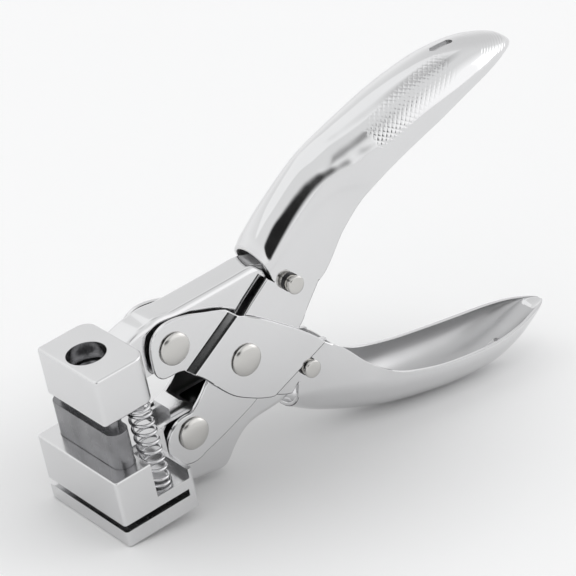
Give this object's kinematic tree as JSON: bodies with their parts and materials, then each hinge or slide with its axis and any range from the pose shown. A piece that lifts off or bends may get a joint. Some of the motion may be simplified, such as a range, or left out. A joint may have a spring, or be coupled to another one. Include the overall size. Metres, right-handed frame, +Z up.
{
  "type": "hang-hole punch plier",
  "caption": "Parallel-action hand punch that cuts a hang-hole slot: chromed blocks, channel arms, crossed pressed handles and opening springs.",
  "frame": {"origin": "on the underside of the lower block, under the axis of the punch screw", "axes": "+Z up with the tool standing on the lower block's front edge and the lower grip, +X from the punch to the grips, Y across the tool. The punch stroke leans 10.45 degrees from Z towards -X."},
  "size_m": [0.1773, 0.039, 0.1102],
  "materials": {
    "chrome_block": "satin chrome plating with softened edges",
    "chrome_sheet": "bright chrome plating on pressed sheet",
    "nickel_rivet": "satin nickel plating",
    "plated_hardware": "zinc plated, slightly dull",
    "spring_wire": "bright plated wire",
    "hardened_steel": "ground tool steel, dark"
  },
  "bodies": {
    "lower_jaw": {"lower_block": "chrome_block", "die_plate": "hardened_steel", "die_screws": "plated_hardware", "lower_arm": "chrome_sheet", "lower_arm_dowel": "plated_hardware", "lower_front_rivet": "nickel_rivet", "spring_left": "spring_wire", "spring_right": "spring_wire", "lower_spring_pegs": "plated_hardware"},
    "upper_handle": {"upper_handle": "chrome_sheet", "upper_slide_pin": "nickel_rivet", "upper_slide_washers": "plated_hardware", "pivot_rivet": "nickel_rivet", "pivot_spacer": "plated_hardware"},
    "lower_handle": {"lower_handle": "chrome_sheet", "lower_slide_pin": "nickel_rivet", "lower_slide_washers": "plated_hardware"},
    "upper_jaw": {"upper_arm": "chrome_sheet", "upper_block": "chrome_block", "punch": "hardened_steel", "punch_screw": "hardened_steel", "punch_washer": "plated_hardware", "upper_arm_dowel": "plated_hardware", "upper_front_rivet": "nickel_rivet", "upper_spring_pegs": "plated_hardware"}
  },
  "joints": [
    {"name": "handle_squeeze", "type": "hinge", "parent": "lower_jaw", "child": "upper_handle", "pos_m": [0.0207, 0, 0.01843], "axis": [0, 1, 0], "range_deg": [0, 10], "stiffness_Nm_per_rad": 12, "springref_deg": -5.73, "deforming": ["spring_left", "spring_right"]},
    {"name": "handle_cross", "type": "hinge", "parent": "upper_handle", "child": "lower_handle", "pos_m": [0.0391, 0, 0.03644], "axis": [0, -1, 0], "range_deg": [0, 20]},
    {"name": "jaw_level", "type": "hinge", "parent": "lower_handle", "child": "upper_jaw", "pos_m": [0.01576, 0, 0.04731], "axis": [0, 1, 0], "range_deg": [0, 10]}
  ],
  "couplings": [
    {"joint": "handle_cross", "follows": "handle_squeeze", "ratio": 2},
    {"joint": "jaw_level", "follows": "handle_squeeze", "ratio": 1}
  ]
}
